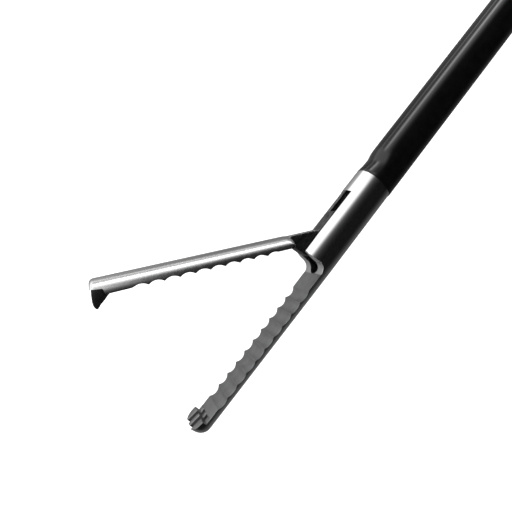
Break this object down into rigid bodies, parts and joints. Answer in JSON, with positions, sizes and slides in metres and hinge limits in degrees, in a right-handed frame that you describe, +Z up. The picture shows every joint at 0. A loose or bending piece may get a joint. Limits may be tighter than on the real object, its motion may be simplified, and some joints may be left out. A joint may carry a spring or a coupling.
{
  "type": "retraction forceps",
  "caption": "Keyhole-surgery retraction forceps: single-action scalloped jaws on a long insulated shaft, turning knob and ring handle with ratchet.",
  "frame": {"origin": "on the shaft's axis, at the front end of the black insulation", "axes": "-X along the shaft towards the jaw tips, +Y the way the jaw opens and the electrode post points, -Y towards the rings, +Z up from the surface it lies on"},
  "size_m": [0.4329, 0.1176, 0.0245],
  "materials": {
    "polished_steel": "polished",
    "satin_steel": "satin",
    "black_insulation": "gloss",
    "black_handle": "matt",
    "collar_plastic": "matt",
    "seal_rubber": "matt"
  },
  "bodies": {
    "handle": {"handle_shell_left": "black_handle", "handle_shell_right": "black_handle", "shell_screws": "satin_steel", "lever_pivot_screw": "satin_steel", "hf_post": "polished_steel", "hf_insulator": "collar_plastic", "knob_bearing": "satin_steel", "pawl_pin": "satin_steel", "pawl_spring": "satin_steel"},
    "lever": {"thumb_lever": "black_handle", "ratchet_bar": "satin_steel", "ratchet_rivet": "satin_steel"},
    "pawl": {"ratchet_pawl": "satin_steel"},
    "shaft": {"jaw_housing": "polished_steel", "jaw_pivot_pin": "satin_steel", "shaft_tube": "satin_steel", "shaft_insulation": "black_insulation", "shaft_collar": "satin_steel", "shaft_seal": "seal_rubber", "rotation_knob": "black_handle", "flush_port": "polished_steel"},
    "cap": {"flush_cap": "seal_rubber"},
    "rod": {"push_rod": "satin_steel", "rod_fork": "satin_steel", "link_rear_pin": "satin_steel", "rod_ball": "polished_steel"},
    "link": {"drive_link": "satin_steel"},
    "jaw": {"moving_jaw": "polished_steel", "link_front_pin": "satin_steel"}
  },
  "joints": [
    {"name": "lever_pivot", "type": "hinge", "parent": "handle", "child": "lever", "pos_m": [0.3355, -0.0052, 0], "axis": [0, 0, -1], "range_deg": [0, 13.36]},
    {"name": "rod_slide", "type": "slide", "parent": "shaft", "child": "rod", "axis": [1, 0, 0], "range_m": [0, 0.00121]},
    {"name": "jaw_pivot", "type": "hinge", "parent": "shaft", "child": "jaw", "pos_m": [-0.00814, 0.00106, 0], "axis": [0, 0, 1], "range_deg": [0, 37.41]},
    {"name": "link_pivot", "type": "hinge", "parent": "rod", "child": "link", "pos_m": [-0.00618, 0, 0], "axis": [0, 0, 1], "range_deg": [0, 7.92]},
    {"name": "shaft_turn", "type": "hinge", "parent": "handle", "child": "shaft", "pos_m": [0, 0, 0], "axis": [1, 0, 0], "continuous": true},
    {"name": "pawl_pivot", "type": "hinge", "parent": "handle", "child": "pawl", "pos_m": [0.32395, -0.05343, 0], "axis": [0, 0, 1], "range_deg": [0, 6.2]},
    {"name": "cap_slide", "type": "slide", "parent": "shaft", "child": "cap", "axis": [0, 0, 1], "range_m": [0, 0.007]}
  ],
  "couplings": [
    {"joint": "rod_slide", "follows": "lever_pivot", "m_per_rad": 0.0051882},
    {"joint": "jaw_pivot", "follows": "lever_pivot", "ratio": 2.7996},
    {"joint": "link_pivot", "follows": "lever_pivot", "ratio": 0.59291}
  ]
}
